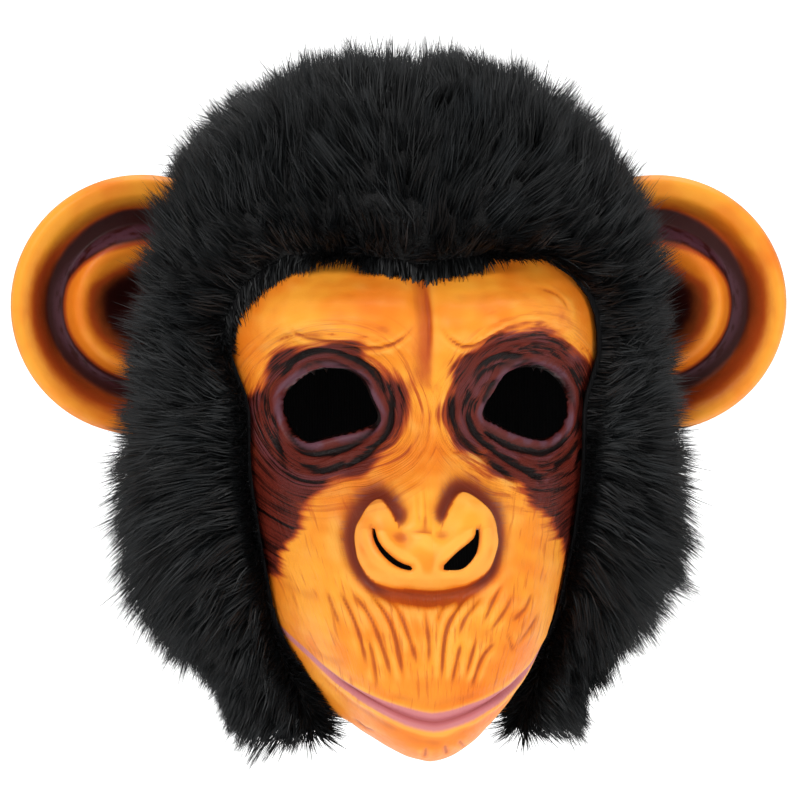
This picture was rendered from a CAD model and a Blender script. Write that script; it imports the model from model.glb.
"""The looks of the ape mask: a painted latex face, two painted ears and a hood of deep black plush.

Metres, +Z up, the face looks along -Y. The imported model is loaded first. The face and the ears are dense
sheets on the same surfaces as their solids, with finer relief and paint. The plush is combed from the hood's
wall, over a short dense undercoat.
"""
import math

import bpy
import numpy as np
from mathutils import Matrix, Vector, kdtree


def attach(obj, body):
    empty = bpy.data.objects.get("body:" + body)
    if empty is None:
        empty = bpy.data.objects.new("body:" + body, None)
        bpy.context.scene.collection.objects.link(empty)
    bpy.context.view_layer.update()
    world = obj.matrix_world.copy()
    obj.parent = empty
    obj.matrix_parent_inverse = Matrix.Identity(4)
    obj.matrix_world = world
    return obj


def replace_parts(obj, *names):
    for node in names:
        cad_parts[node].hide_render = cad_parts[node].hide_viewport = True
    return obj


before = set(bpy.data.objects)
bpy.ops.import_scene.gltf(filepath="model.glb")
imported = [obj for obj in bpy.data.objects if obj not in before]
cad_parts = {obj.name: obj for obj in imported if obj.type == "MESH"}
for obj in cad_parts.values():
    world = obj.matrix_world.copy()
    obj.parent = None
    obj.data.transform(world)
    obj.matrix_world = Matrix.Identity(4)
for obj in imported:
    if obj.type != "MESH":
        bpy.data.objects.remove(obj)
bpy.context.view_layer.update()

# The hollow's egg, as in the solids
HEAD_WIDTH = 0.176
HEAD_FRONT = 0.103
HEAD_BACK = 0.101
HOOD_HEIGHT = 0.240
DOME_HEIGHT = 0.108
ROUNDNESS = 2.4
CLOTH = 0.002
LATEX = 0.002
SEAT_GAP = 0.0008
EDGE_GAP = 0.0010
FACET_EASE = 0.0005
HOOD_TABLE = (
    # drop, side, front, back
    (0.000, 1.000, 1.000, 1.000),
    (0.230, 1.010, 0.990, 0.985),
    (0.420, 1.000, 0.965, 0.935),
    (0.545, 0.970, 0.935, 0.885),
    (0.680, 0.890, 0.895, 0.825),
    (0.820, 0.785, 0.862, 0.775),
    (0.925, 0.715, 0.842, 0.752),
    (1.000, 0.690, 0.830, 0.750),
)

# The face, as in the solids
FACE_WIDTH = 0.142
FACE_HEIGHT = 0.186
FACE_TOP = 0.058
FLANGE = 0.008
FLANGE_SHARE = 0.6
ROW_SWEEP = 1.6
STAND_OUT = 0.070
RELIEF = 0.010
EYE_SPACING = 0.0745
EYE_SHIFT = 0.003
EYE_DROP = 0.055
EYE_WIDTH = 0.0345
EYE_HEIGHT = 0.0275
NOSTRIL_SPACING = 0.0285
NOSTRIL_DROP = 0.1025
NOSTRIL_SLIT = 0.022
FACE_EDGE = (
    # drop, side
    (0.016, 0.00),
    (0.000, 0.36),
    (0.002, 0.68),
    (0.050, 0.87),
    (0.115, 0.98),
    (0.185, 1.00),
    (0.250, 0.95),
    (0.310, 0.90),
    (0.400, 0.90),
    (0.540, 0.86),
    (0.650, 0.81),
    (0.740, 0.77),
    (0.800, 0.71),
    (0.860, 0.63),
    (0.920, 0.565),
    (1.000, 0.53),
    (1.150, 0.51),
)
FACE_ROWS = (
    # middle_drop, edge_drop, out, squareness, blend
    (-0.055, -0.045, 0.00, 3.6, 1.5),
    (0.014, 0.000, 0.00, 3.6, 1.5),
    (0.040, 0.024, 0.06, 3.6, 1.5),
    (0.070, 0.048, 0.18, 3.8, 1.4),
    (0.107, 0.080, 0.26, 3.8, 1.3),
    (0.145, 0.112, 0.28, 3.6, 1.2),
    (0.188, 0.150, 0.24, 3.2, 1.2),
    (0.236, 0.198, 0.18, 3.0, 1.2),
    (0.280, 0.246, 0.16, 2.8, 1.2),
    (0.322, 0.290, 0.17, 2.6, 1.2),
    (0.370, 0.338, 0.20, 2.4, 1.2),
    (0.413, 0.376, 0.25, 2.3, 1.2),
    (0.456, 0.414, 0.32, 2.3, 1.2),
    (0.498, 0.446, 0.40, 2.3, 1.2),
    (0.541, 0.478, 0.50, 2.4, 1.2),
    (0.584, 0.510, 0.60, 2.8, 1.1),
    (0.620, 0.542, 0.68, 3.2, 1.1),
    (0.654, 0.570, 0.75, 3.6, 1.0),
    (0.692, 0.602, 0.83, 4.0, 1.0),
    (0.740, 0.640, 0.905, 4.4, 1.0),
    (0.794, 0.682, 0.955, 4.6, 1.0),
    (0.842, 0.724, 0.965, 4.6, 1.0),
    (0.877, 0.756, 0.925, 4.4, 1.0),
    (0.907, 0.788, 0.945, 4.2, 1.0),
    (0.944, 0.820, 0.895, 3.8, 1.0),
    (0.976, 0.848, 0.780, 3.4, 1.0),
    (0.996, 0.872, 0.620, 3.1, 1.1),
    (1.000, 0.898, 0.450, 2.8, 1.1),
    (0.990, 0.922, 0.270, 2.4, 1.3),
    (0.969, 0.940, 0.100, 2.4, 1.4),
    (0.952, 0.952, 0.020, 2.4, 1.5),
)
FACE_COLUMNS = (0.0, 0.065, 0.135, 0.21, 0.29, 0.375, 0.465, 0.56, 0.66, 0.76, 0.86, 0.94, 1.0)
FACE_RELIEF = (
    # anchor, side, drop, half_width, half_height, lift
    ("face", 0.00, 0.145, 0.07, 0.120, -0.25),
    ("face", 0.46, 0.130, 0.36, 0.050, 0.55),
    ("eye", 0.04, 0.03, 0.64, 0.75, -1.05),
    ("face", 0.00, 0.400, 0.14, 0.120, 0.40),
    ("face", 0.00, 0.515, 0.12, 0.105, 0.65),
    ("nostril", 0.11, -0.25, 0.60, 0.62, 1.00),
    ("nostril", 0.77, 0.00, 0.25, 0.75, -0.35),
    ("face", 0.62, 0.440, 0.22, 0.080, 0.30),
    ("face", 0.00, 0.645, 0.42, 0.022, -0.40),
)
RELIEF_START = 0.02
RELIEF_RISE = 0.06
RELIEF_SIDE = 0.18
EYE_LEFT = (
    # side as a share of EYE_WIDTH, up as a share of EYE_HEIGHT
    (-0.50, -0.10),
    (-0.36, 0.22),
    (-0.24, 0.44),
    (0.02, 0.50),
    (0.27, 0.42),
    (0.43, 0.22),
    (0.50, -0.06),
    (0.43, -0.34),
    (0.22, -0.50),
    (-0.08, -0.42),
    (-0.34, -0.26),
)
EYE_RIGHT = (
    # side as a share of EYE_WIDTH, up as a share of EYE_HEIGHT
    (-0.50, 0.04),
    (-0.36, 0.30),
    (-0.14, 0.48),
    (0.14, 0.50),
    (0.33, 0.36),
    (0.43, 0.10),
    (0.50, -0.18),
    (0.30, -0.32),
    (0.00, -0.42),
    (-0.26, -0.50),
    (-0.43, -0.28),
)

# How finely the face's sheet is drawn between the solid's rows and columns
ROWS_BETWEEN = 7.6
COLUMNS_BETWEEN = 7

# Outlines and lines on the face in front view, in millimetres from the middle and from the seat
MAROON_RIGHT = (
    (-54, -97), (-46, -90), (-36, -86.5), (-24, -91), (-14, -98.5), (-7.5, -107), (-7.5, -119),
    (-13, -128), (-22, -134), (-31, -139), (-41, -149), (-48, -161), (-54, -178), (-66, -176),
    (-68, -140), (-66, -116),
)
MAROON_LEFT = (
    (6.5, -108), (10, -99), (19, -90), (29, -84.5), (41, -84), (54, -89), (65, -96), (73, -104),
    (74, -130), (70, -176), (60, -177), (49, -160), (39.5, -149.5), (30, -140), (20, -132), (9.5, -122),
)
SLIT_RIGHT = (
    (-22.0, -154.2), (-20.9, -154.4), (-19.9, -158.4), (-17.8, -161.6), (-14.6, -164.7), (-11.2, -166.9),
    (-7.9, -168.1), (-8.1, -169.4), (-11.8, -168.6), (-15.8, -166.2), (-19.3, -162.4), (-21.4, -158.2),
)
SLIT_LEFT = (
    (17.4, -154.9), (16.0, -154.9), (14.9, -158.3), (9.1, -162.7), (5.6, -165.8), (3.1, -168.8),
    (6.6, -169.4), (10.8, -168.9), (14.4, -165.6), (16.6, -161.5),
)
NOSE = (
    (-10.5, -156.4), (-13.6, -149.5), (-15.7, -146.0), (-17.8, -144.0), (-20.5, -144.3), (-23.8, -146.8),
    (-27.0, -151.5), (-28.7, -157.1), (-28.4, -162.7), (-27.1, -167.6), (-24.6, -171.6), (-21.0, -174.6),
    (-15.6, -176.6), (-7.8, -177.6), (-0.4, -178.0), (7.0, -177.4), (13.6, -175.4), (19.3, -171.9),
    (23.3, -167.5), (25.7, -161.5), (25.8, -155.3), (24.1, -150.1), (21.0, -146.0), (17.1, -143.0),
    (12.9, -141.6), (9.8, -143.1), (7.0, -146.4), (4.8, -150.7), (2.2, -156.0),
)
EYE_CREASES = (
    # depth, width, then the line's points
    (1.3, 1.0, (-53.2, -104.0), (-48.7, -97.4), (-43.0, -93.4), (-37.0, -91.9), (-30.9, -93.0),
     (-23.8, -96.2), (-18.0, -100.6), (-14.6, -107.0)),
    (1.0, 0.9, (-47.2, -101.5), (-41.7, -97.0), (-34.1, -95.6), (-27.0, -97.8), (-21.0, -102.2), (-18.0, -107.5)),
    (1.4, 1.2, (-49.9, -118.0), (-48.3, -125.8), (-44.6, -129.6), (-39.0, -130.8), (-30.6, -128.8),
     (-23.5, -125.5), (-18.0, -120.9), (-15.2, -115.0)),
    (0.5, 0.9, (-54.6, -114.0), (-54.2, -124.0), (-53.2, -131.0), (-50.3, -138.0)),
    (1.0, 1.0, (-12.4, -106.0), (-12.0, -114.6), (-14.6, -122.6), (-21.5, -129.9), (-30.8, -135.6)),
    (0.9, 0.9, (-47.0, -134.5), (-38.0, -136.4), (-28.0, -132.8)),
    (1.2, 1.0, (17.0, -103.6), (22.0, -96.8), (29.3, -94.2), (37.6, -95.6), (46.1, -99.2),
     (53.6, -103.6), (58.6, -109.4), (61.5, -115.5)),
    (1.0, 0.9, (18.0, -107.9), (21.2, -100.9), (28.0, -97.6), (36.3, -97.6), (46.4, -101.0), (55.0, -106.2),
     (59.6, -113.0), (61.0, -119.8)),
    (1.5, 1.3, (27.5, -102.2), (24.4, -106.8), (21.7, -112.4)),
    (1.3, 1.1, (20.6, -119.5), (27.6, -125.3), (36.0, -129.4), (46.5, -131.0), (54.5, -128.4), (59.2, -121.6)),
    (1.2, 1.0, (15.6, -113.3), (18.2, -121.4), (23.4, -127.3), (31.5, -133.2), (40.8, -137.9), (47.0, -143.0)),
    (1.1, 1.0, (10.6, -105.9), (10.5, -115.0), (13.0, -122.9), (19.5, -129.6), (28.8, -136.2), (36.0, -142.6)),
    (0.9, 0.9, (63.4, -108.0), (66.0, -118.0), (64.0, -131.0), (60.0, -141.0)),
    (0.9, 0.9, (50.0, -137.0), (58.0, -134.0), (63.0, -127.0)),
)
FACE_CREASES = (
    # depth, width, then the line's points
    (0.9, 0.8, (-51.0, -81.6), (-45.0, -87.0), (-32.8, -88.4), (-24.0, -89.6)),
    (1.0, 0.8, (-40.0, -88.0), (-26.0, -90.8), (-13.4, -89.6), (-5.5, -83.5), (-4.4, -80.0)),
    (1.0, 0.8, (4.0, -81.0), (8.5, -87.0), (15.0, -90.2), (24.0, -86.6), (36.0, -80.0)),
    (0.8, 0.8, (18.0, -90.0), (28.0, -84.6), (39.0, -81.6), (52.0, -84.6)),
    (0.5, 0.7, (42.0, -68.4), (52.0, -72.0), (58.6, -80.0)),
    (0.7, 0.7, (0.6, -62.0), (0.9, -78.0), (0.8, -99.0)),
    (0.5, 0.9, (-38.8, -175.9), (-36.6, -182.5), (-33.2, -191.3)),
    (0.9, 0.9, (-34.5, -175.5), (-28.3, -188.6), (-24.1, -205.2)),
    (0.8, 0.9, (-31.2, -175.2), (-22.5, -187.0), (-14.8, -210.0)),
    (0.8, 0.8, (-25.8, -191.2), (-23.4, -196.1), (-20.5, -211.9)),
    (1.0, 0.9, (-25.6, -174.0), (-16.0, -187.6), (-11.1, -209.9)),
    (0.8, 0.9, (-16.9, -178.8), (-12.2, -184.8), (-6.0, -203.3)),
    (0.7, 0.9, (-3.7, -181.1), (-2.3, -193.9), (-2.7, -204.1)),
    (0.5, 0.8, (4.5, -180.6), (2.1, -184.2), (0.9, -187.8)),
    (1.1, 0.9, (15.0, -175.5), (4.5, -189.2), (1.7, -210.8)),
    (0.7, 0.9, (18.7, -178.6), (11.3, -185.7), (8.1, -193.4)),
    (0.8, 0.8, (9.6, -193.4), (7.2, -202.7), (5.8, -210.1)),
    (0.8, 0.9, (26.6, -174.7), (21.4, -181.2), (17.1, -188.7)),
    (0.8, 0.8, (15.1, -192.1), (12.8, -200.0), (10.6, -208.0)),
    (0.7, 0.9, (30.4, -178.5), (25.8, -184.2), (19.3, -191.5)),
    (0.9, 0.9, (23.1, -193.8), (16.9, -200.1), (12.5, -212.5)),
    (0.7, 0.9, (38.0, -178.7), (33.9, -184.4), (28.0, -187.9)),
    (0.6, 0.9, (40.2, -186.3), (36.3, -191.2), (29.4, -197.2)),
    (0.6, 1.0, (50.0, -180.0), (51.0, -193.0), (46.0, -208.0)),
    (0.5, 0.8, (26.2, -191.2), (27.8, -195.3), (29.4, -199.7)),
    (0.6, 0.9, (-2.8, -233.4), (-2.6, -236.5), (-2.4, -240.0)),
    (0.6, 0.9, (3.8, -232.6), (5.0, -236.0), (6.0, -239.0)),
    (0.6, 0.9, (8.9, -231.4), (11.0, -234.0), (13.0, -237.0)),
    (0.6, 0.9, (-27.5, -229.0), (-23.5, -231.2), (-19.6, -229.6)),
)

# The ears, as in the solids
EAR_RADIUS = 0.052
EAR_STAND = 0.017
EAR_DROP = 0.0785
EAR_FORWARD = 0.013
EAR_RELIEF = 0.016
EAR_SWEEP = (124.0, -104.0)
EAR_CALM = 0.25
EAR_LEAST = 0.004
EAR_RELIEF_TABLE = (
    # inward as a share of EAR_RADIUS, lift as a share of EAR_RELIEF
    (0.00, 0.05),
    (0.05, 0.25),
    (0.13, 0.20),
    (0.24, -0.45),
    (0.36, -0.50),
    (0.52, 0.00),
    (0.64, -0.20),
    (0.90, -0.95),
    (1.30, -1.10),
)
EAR_ROWS = 132
EAR_COLUMNS = 60

# The plush
STRANDS = 205000
FRINGE = 17000
TUFTS = 5200
STRAND_LENGTH = 0.0325
STRAND_WIDTH = 0.00056
UNDERCOAT = 0.010
STRAND_STEPS = (0.0, 0.52, 1.0)
HEM = -0.254
HEM_SPREAD = 0.011

# The camera and the stage
CAMERA_TURN = -4.7
CAMERA_RISE = 4.0
CAMERA_DISTANCE = 1.17
CAMERA_LENS = 128.0
AIM_DROP = 0.118
FLOOR_DROP = 0.62

# How far the pile reaches down over the top of the face, in millimetres at places across it
BROW_FRINGE = (
    (-72, 4), (-66, 11), (-58, 12), (-48, 7), (-38, 1.5), (-26, 1), (-14, 5), (-6, 13), (2, 17), (9, 15),
    (17, 6), (26, 1), (40, 0), (52, 1), (60, 2), (68, 0),
)

MM = 0.001


def smooth_read(at, keys, values):
    """A smooth curve through a table's values that never overshoots them."""
    keys = np.asarray(keys, float)
    values = np.asarray(values, float)
    at = np.clip(np.asarray(at, float), keys[0], keys[-1])
    steps = np.diff(keys)
    slopes = np.diff(values) / steps
    product = slopes[:-1] * slopes[1:]
    total = np.where(product > 0, slopes[:-1] + slopes[1:], 1.0)
    inner = np.where(product > 0, 2 * product / total, 0.0)
    tangents = np.concatenate([slopes[:1], inner, slopes[-1:]])
    i = np.clip(np.searchsorted(keys, at, side="right") - 1, 0, len(steps) - 1)
    t = (at - keys[i]) / steps[i]
    rise = values[i] * (1 + 2 * t) * (1 - t) ** 2 + values[i + 1] * t * t * (3 - 2 * t)
    lean = steps[i] * (tangents[i] * t * (1 - t) ** 2 - tangents[i + 1] * t * t * (1 - t))
    return rise + lean


def ease(value, low, high):
    """A smooth step from 0 at low to 1 at high."""
    t = np.clip((value - low) / (high - low), 0.0, 1.0)
    return t * t * (3 - 2 * t)


def unit(vectors):
    return vectors / np.maximum(np.linalg.norm(vectors, axis=-1, keepdims=True), 1e-12)


def ripples(a, b, seed, waves=7):
    """A soft uneven field over two coordinates, about -1 to 1, with features about 1 across."""
    draw = np.random.default_rng(seed)
    total = np.zeros(np.broadcast(a, b).shape)
    for _ in range(waves):
        turn = draw.uniform(0, 2 * math.pi)
        pace = draw.uniform(0.5, 1.2) * math.pi
        total += np.sin(pace * (a * math.cos(turn) + b * math.sin(turn)) + draw.uniform(0, 2 * math.pi))
    return total / math.sqrt(waves)


def hood_reach(drop):
    """The hollow's half width, front reach and back reach at a drop below the seat."""
    drop = np.asarray(drop, float)
    table = np.array(HOOD_TABLE)
    share = (drop - DOME_HEIGHT) / (HOOD_HEIGHT - DOME_HEIGHT)
    side, front, back = (smooth_read(share, table[:, 0], table[:, k]) for k in (1, 2, 3))
    rise = np.clip(1 - drop / DOME_HEIGHT, 0.0, 1.0)
    dome = (1 - rise**ROUNDNESS) ** (1 / ROUNDNESS)
    return side * dome * HEAD_WIDTH / 2, front * dome * HEAD_FRONT, back * dome * HEAD_BACK


def egg_front(x, z):
    """The front of the hollow's egg at a place in front view, as y."""
    side, front, _ = hood_reach(-z)
    share = np.clip(np.abs(x) / side, 0.0, 1.0)
    return -front * (1 - share**ROUNDNESS) ** (1 / ROUNDNESS)


def hood_point(level, turn):
    """A point of the hollow's egg: level 0 is the crown, 1 the widest ring and 2 the neck."""
    power = 2 / ROUNDNESS
    tilt = np.clip(level, 0.0, 1.0) * math.pi / 2
    drop = DOME_HEIGHT * (1 - np.maximum(np.cos(tilt), 0.0) ** power)
    drop = drop + np.maximum(level - 1, 0.0) * (HOOD_HEIGHT - DOME_HEIGHT)
    side, front, back = hood_reach(drop)
    x = side * np.sign(np.sin(turn)) * np.abs(np.sin(turn)) ** power
    forward = np.cos(turn)
    y = -np.where(forward > 0, front, back) * np.sign(forward) * np.abs(forward) ** power
    return np.stack(np.broadcast_arrays(x, y, -drop), axis=-1)


def hood_normal(level, turn):
    """The outward normal of the hollow's egg."""
    step = 0.004
    level = np.maximum(level, 2 * step)
    along = hood_point(level + step, turn) - hood_point(level - step, turn)
    across = hood_point(level, turn + step) - hood_point(level, turn - step)
    return unit(np.cross(along, across))


def grid_normals(points):
    """Unit normals of a grid, facing out where rows run down and columns run to +X at the front."""
    normals = np.cross(np.gradient(points, axis=0), np.gradient(points, axis=1))
    return unit(normals)


def opening_half_width(z):
    """The face opening's half width at a height, below its rounded top."""
    table = np.array(FACE_EDGE[2:])
    drop = (-z - FACE_TOP) / FACE_HEIGHT
    return smooth_read(drop, table[:, 0], table[:, 1]) * FACE_WIDTH / 2


def opening_outline(margin):
    """The hood's face opening in front view, set out by a margin. It runs on below the chin."""
    half = [(side * FACE_WIDTH / 2, -FACE_TOP - drop * FACE_HEIGHT) for drop, side in FACE_EDGE[:2]]
    for drop in np.linspace(FACE_EDGE[2][0], FACE_EDGE[-1][0], 40):
        z = -FACE_TOP - drop * FACE_HEIGHT
        half.append((float(opening_half_width(z)), z))
    line = np.array([(-x, z) for x, z in half[:0:-1]] + half)
    along = np.gradient(line, axis=0)
    out = unit(np.stack([-along[:, 1], along[:, 0]], axis=1))
    return line + out * margin


def rounded(corners, steps, closed=True):
    """A smooth line through corners, closed or open."""
    corners = np.asarray(corners, float)
    if not closed:
        corners = np.concatenate([2 * corners[:1] - corners[1:2], corners, 2 * corners[-1:] - corners[-2:-1]])
    before, after, later = np.roll(corners, 1, 0), np.roll(corners, -1, 0), np.roll(corners, -2, 0)
    t = (np.arange(steps) / steps)[None, :, None]
    p0, p1, p2, p3 = (c[:, None, :] for c in (before, corners, after, later))
    curve = p1 + 0.5 * t * (p2 - p0 + t * (2 * p0 - 5 * p1 + 4 * p2 - p3 + t * (3 * (p1 - p2) + p3 - p0)))
    if closed:
        return curve.reshape(-1, 2)
    return np.concatenate([curve[1:-2].reshape(-1, 2), corners[-2:-1]])


def line_distance(x, z, line, closed=False):
    """Distance to a line in front view, the share along it, and the nearest point."""
    line = np.asarray(line, float)
    ends = np.roll(line, -1, 0) if closed else line[1:]
    starts = line if closed else line[:-1]
    lengths = np.linalg.norm(ends - starts, axis=1)
    passed = np.concatenate([[0.0], np.cumsum(lengths)])
    best = np.full(x.shape, np.inf)
    share, near_x, near_z = np.zeros(x.shape), np.zeros(x.shape), np.zeros(x.shape)
    for n, (a, b) in enumerate(zip(starts, ends)):
        run = b - a
        t = np.clip(((x - a[0]) * run[0] + (z - a[1]) * run[1]) / max(run @ run, 1e-12), 0.0, 1.0)
        px, pz = a[0] + t * run[0], a[1] + t * run[1]
        far = np.hypot(x - px, z - pz)
        closer = far < best
        best = np.where(closer, far, best)
        share = np.where(closer, (passed[n] + t * lengths[n]) / passed[-1], share)
        near_x, near_z = np.where(closer, px, near_x), np.where(closer, pz, near_z)
    return best, share, near_x, near_z


def inside_outline(x, z, outline):
    """Which places in front view lie inside a closed outline."""
    inside = np.zeros(x.shape, bool)
    for (ax, az), (bx, bz) in zip(outline, np.roll(outline, -1, 0)):
        crosses = (az > z) != (bz > z)
        if az != bz:
            inside ^= crosses & (x < ax + (z - az) / (bz - az) * (bx - ax))
    return inside


def signed_distance(x, z, outline):
    """Distance outside a closed outline in front view, less than 0 inside it."""
    far = line_distance(x, z, outline, closed=True)[0]
    return np.where(inside_outline(x, z, outline), -far, far)


def face_relief(x, z):
    """How far the face's relief lifts a place in front view, as in the solid."""
    anchors = {
        "face": (0.0, 0.0, FACE_TOP, FACE_WIDTH / 2, FACE_HEIGHT),
        "eye": (EYE_SHIFT, EYE_SPACING / 2, FACE_TOP + EYE_DROP, EYE_WIDTH, EYE_HEIGHT),
        "nostril": (0.0, NOSTRIL_SPACING / 2, FACE_TOP + NOSTRIL_DROP, NOSTRIL_SLIT, NOSTRIL_SLIT),
    }
    lift = np.zeros_like(x)
    for anchor, side, drop, half_width, half_height, height in FACE_RELIEF:
        shift, anchor_out, anchor_drop, width, tall = anchors[anchor]
        across = (np.abs(x - shift) - anchor_out - side * width) / (half_width * width)
        down = (-z - anchor_drop - drop * tall) / (half_height * tall)
        lift += height * RELIEF * np.exp(-(across**2) - down**2)
    return lift


def face_surface(rows, right):
    """The face's outer surface at row numbers and column shares, with its flange at each side."""
    table = np.array(FACE_ROWS)
    keys = np.arange(len(table))
    read = (smooth_read(rows, keys, table[:, k])[:, None] for k in range(5))
    middle_drop, edge_drop, out, squareness, blend = read
    right = np.concatenate([right, [1.0]])
    share = np.concatenate([-right[:0:-1], right])[None, :]
    near = np.abs(share)
    drop = middle_drop + (edge_drop - middle_drop) * near**ROW_SWEEP
    z = -FACE_TOP - drop * FACE_HEIGHT
    x = share * (opening_half_width(z) - EDGE_GAP)
    room = hood_reach(-z)[0] - np.abs(x)
    flange = np.minimum(FLANGE, FLANGE_SHARE * room)
    x[:, 0] -= flange[:, 0]
    x[:, -1] += flange[:, -1]
    stand = out * STAND_OUT * (1 - near**squareness) ** blend
    y = egg_front(x, z) + SEAT_GAP - stand
    points = np.stack([x, y, z], axis=-1)
    rise = np.clip((drop - RELIEF_START) / RELIEF_RISE, 0.0, 1.0)
    settle = np.clip((1 - near) / RELIEF_SIDE, 0.0, 1.0)
    settle = settle * settle * (3 - 2 * settle)
    points += grid_normals(points) * (face_relief(x, z) * rise * settle)[..., None]
    return points, np.broadcast_to(near, x.shape), rise * ease(1 - near, 0.0, 0.08)


def blurred(field, reach):
    """A field averaged over a few points each way."""
    kernel = np.ones(2 * reach + 1) / (2 * reach + 1)
    for axis in (0, 1):
        pad = [(reach, reach) if axis == k else (0, 0) for k in (0, 1)]
        field = np.apply_along_axis(np.convolve, axis, np.pad(field, pad, mode="edge"), kernel, mode="valid")
    return field


def choose_only(piece):
    bpy.ops.object.select_all(action="DESELECT")
    piece.select_set(True)
    bpy.context.view_layer.objects.active = piece


def draw_sheet(name, points):
    """A flat grid added as a primitive and drawn onto a surface whose rows run down."""
    rows, columns = points.shape[:2]
    bpy.ops.object.select_all(action="DESELECT")
    bpy.ops.mesh.primitive_grid_add(x_subdivisions=columns - 1, y_subdivisions=rows - 1, size=1.0)
    piece = bpy.context.object
    piece.name = name
    piece.data.name = name
    piece.data.vertices.foreach_set("co", points[::-1].reshape(-1))
    piece.data.update()
    return piece


def keep_field(piece, name, values, rows_run_down=True):
    """Stores one number a point for the paint to read."""
    values = values[::-1] if rows_run_down else values
    field = piece.data.attributes.new(name, "FLOAT", "POINT")
    field.data.foreach_set("value", np.ascontiguousarray(values, dtype=np.float32).reshape(-1))


def keep_comb(piece, name, first, second, third, rows_run_down=True):
    """Stores the coordinates along which a paint's streaks run."""
    values = np.stack([first, second, third], axis=-1)
    values = values[::-1] if rows_run_down else values
    field = piece.data.attributes.new(name, "FLOAT_VECTOR", "POINT")
    field.data.foreach_set("vector", np.ascontiguousarray(values, dtype=np.float32).reshape(-1))


def cut_holes(piece, inside):
    """Deletes the faces whose points all lie in or on a hole. Inside is one flag a point."""
    choose_only(piece)
    mesh = piece.data
    flags = inside[::-1].reshape(-1)
    corners = np.zeros(len(mesh.loops), np.int32)
    mesh.loops.foreach_get("vertex_index", corners)
    gone = flags[corners.reshape(-1, 4)].all(axis=1)
    for domain in (mesh.vertices, mesh.edges, mesh.polygons):
        domain.foreach_set("select", np.zeros(len(domain), bool))
    mesh.polygons.foreach_set("select", gone)
    bpy.ops.object.mode_set(mode="EDIT")
    bpy.ops.mesh.select_mode(type="FACE")
    bpy.ops.mesh.delete(type="FACE")
    bpy.ops.object.mode_set(mode="OBJECT")


def thicken(piece, thickness, offset=-1.0, inside_slot=1):
    """Gives a sheet its wall."""
    choose_only(piece)
    wall = piece.modifiers.new("wall", "SOLIDIFY")
    wall.thickness = thickness
    wall.offset = offset
    wall.use_even_offset = False
    wall.use_quality_normals = True
    wall.material_offset = inside_slot
    bpy.ops.object.modifier_apply(modifier="wall")
    bpy.ops.object.shade_smooth()


def snap_to(points, normals, outline):
    """Draws the points beside an outline onto it, along the surface. Returns which are in or on it."""
    x, z = points[..., 0], points[..., 2]
    far, _, near_x, near_z = line_distance(x, z, outline, closed=True)
    inside = inside_outline(x, z, outline)
    front = normals[..., 1] < -0.05
    close = np.zeros(x.shape, bool)
    each, first, second = slice(None), slice(None, -1), slice(1, None)
    neighbours = (
        ((each, first), (each, second)),
        ((first, each), (second, each)),
        ((first, first), (second, second)),
        ((first, second), (second, first)),
    )
    for one, other in neighbours:
        crossing = inside[one] != inside[other]
        nearer = far[one] <= far[other]
        close[one] |= crossing & nearer
        close[other] |= crossing & ~nearer
    close &= front
    dx, dz = near_x - x, near_z - z
    dy = -(normals[..., 0] * dx + normals[..., 2] * dz) / np.where(front, normals[..., 1], -1.0)
    move = np.stack([dx, dy, dz], axis=-1)
    points += np.where(close[..., None], move, 0.0)
    return (inside | close) & front


def tint(red, green, blue):
    """A colour as seen on a screen, 0 to 255, as linear light."""
    shares = np.array([red, green, blue]) / 255
    linear = np.where(shares <= 0.04045, shares / 12.92, ((shares + 0.055) / 1.055) ** 2.4)
    return (*[float(v) for v in linear], 1.0)


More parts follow.
